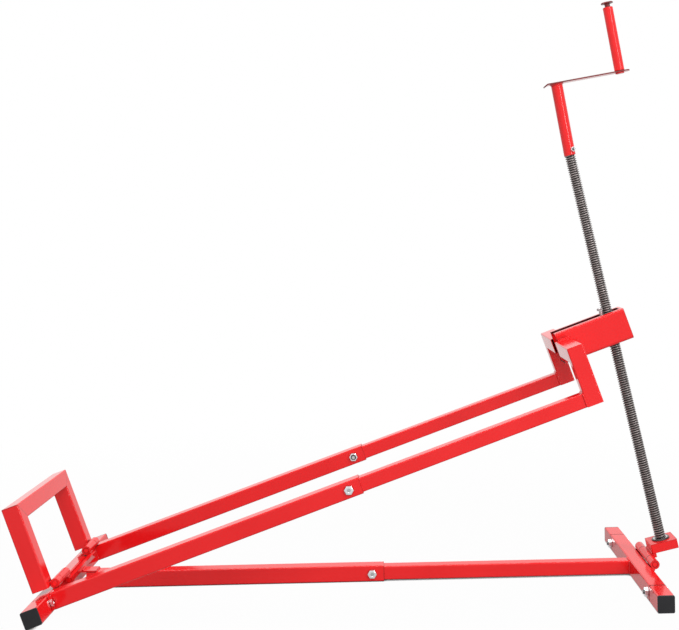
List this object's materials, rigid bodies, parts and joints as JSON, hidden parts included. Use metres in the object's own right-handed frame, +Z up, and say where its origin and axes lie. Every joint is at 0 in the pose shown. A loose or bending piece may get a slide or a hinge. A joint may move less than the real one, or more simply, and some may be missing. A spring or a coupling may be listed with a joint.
{
  "type": "lawn mower lift jack",
  "caption": "Floor jack of square steel tube: a hinged lifting frame raised by a long hand-cranked screw, for tilting up the front of a ride-on mower.",
  "frame": {"origin": "middle of the whole jack's box in plan, on the floor", "axes": "+X from the rear hinge towards the screw, +Y across to the far side, +Z up"},
  "size_m": [1.4284, 0.569, 1.2772],
  "materials": {
    "red_paint": "gloss powder coat",
    "screw_steel": "oiled phosphate",
    "dark_steel": "oiled",
    "zinc_steel": "bright zinc",
    "cap_plastic": "moulded"
  },
  "bodies": {
    "base": {"base_hinge_bar": "red_paint", "base_hinge_barrel_far": "red_paint", "base_hinge_barrel_near": "red_paint", "base_hinge_plate": "red_paint", "base_inner_tube": "red_paint", "base_outer_tube": "red_paint", "base_splice_bolt": "zinc_steel", "base_splice_nut": "zinc_steel", "front_cap_far": "cap_plastic", "front_cap_near": "cap_plastic", "front_crossbar": "red_paint", "front_foot_bolts": "zinc_steel", "front_foot_far": "red_paint", "front_foot_near": "red_paint", "front_foot_nuts": "zinc_steel", "front_hinge_pin": "red_paint", "front_knuckle_far": "red_paint", "front_knuckle_near": "red_paint", "rear_hinge_pin_far": "red_paint", "rear_hinge_pin_near": "red_paint"},
    "lift_frame": {"arm_inner_far": "red_paint", "arm_inner_near": "red_paint", "arm_outer_far": "red_paint", "arm_outer_near": "red_paint", "arm_splice_bolts": "zinc_steel", "arm_splice_nuts": "zinc_steel", "front_top_bar_far": "red_paint", "front_top_bar_near": "red_paint", "front_upright_far": "red_paint", "front_upright_near": "red_paint", "nut_channel": "red_paint", "rear_cap_far": "cap_plastic", "rear_cap_near": "cap_plastic", "rear_crossbar": "red_paint", "rear_foot_bolts": "zinc_steel", "rear_foot_far": "red_paint", "rear_foot_near": "red_paint", "rear_foot_nuts": "zinc_steel", "rear_hinge_barrel_far": "red_paint", "rear_hinge_barrel_near": "red_paint", "rear_post_far": "red_paint", "rear_post_near": "red_paint", "rear_top_bar": "red_paint"},
    "screw_seat": {"screw_seat_block": "red_paint", "seat_knuckle": "red_paint", "thrust_washer": "dark_steel"},
    "crank": {"crank_arm": "red_paint", "crank_socket": "red_paint", "crank_socket_bolt": "zinc_steel", "crank_socket_nut": "zinc_steel", "grip_pin": "red_paint", "lift_screw": "screw_steel", "screw_collar": "dark_steel", "screw_retainer": "dark_steel"},
    "grip": {"crank_grip": "red_paint"},
    "nut": {"lift_nut": "dark_steel", "nut_guide_bolt": "zinc_steel"}
  },
  "joints": [
    {"name": "arm_lift", "type": "hinge", "parent": "base", "child": "lift_frame", "pos_m": [-0.61211, 0, 0.0553], "axis": [0, -1, 0], "range_deg": [-17, 13]},
    {"name": "screw_lean", "type": "hinge", "parent": "base", "child": "screw_seat", "pos_m": [0.64971, 0, 0.04037], "axis": [0, -1, 0], "range_deg": [-7.16, 5.48]},
    {"name": "nut_travel", "type": "slide", "parent": "screw_seat", "child": "nut", "axis": [-0.2178, 0, 0.976], "range_m": [-0.3728, 0.2852]},
    {"name": "crank_spin", "type": "hinge", "parent": "screw_seat", "child": "crank", "pos_m": [0.68053, 0, 0.07676], "axis": [-0.2178, 0, 0.976], "continuous": true},
    {"name": "grip_spin", "type": "hinge", "parent": "crank", "child": "grip", "pos_m": [0.60381, 0, 1.11826], "axis": [-0.1716, 0, 0.9852], "continuous": true}
  ],
  "couplings": [
    {"joint": "screw_lean", "follows": "arm_lift", "ratio": 0.42},
    {"joint": "nut_travel", "follows": "arm_lift", "m_per_rad": 1.2548}
  ]
}
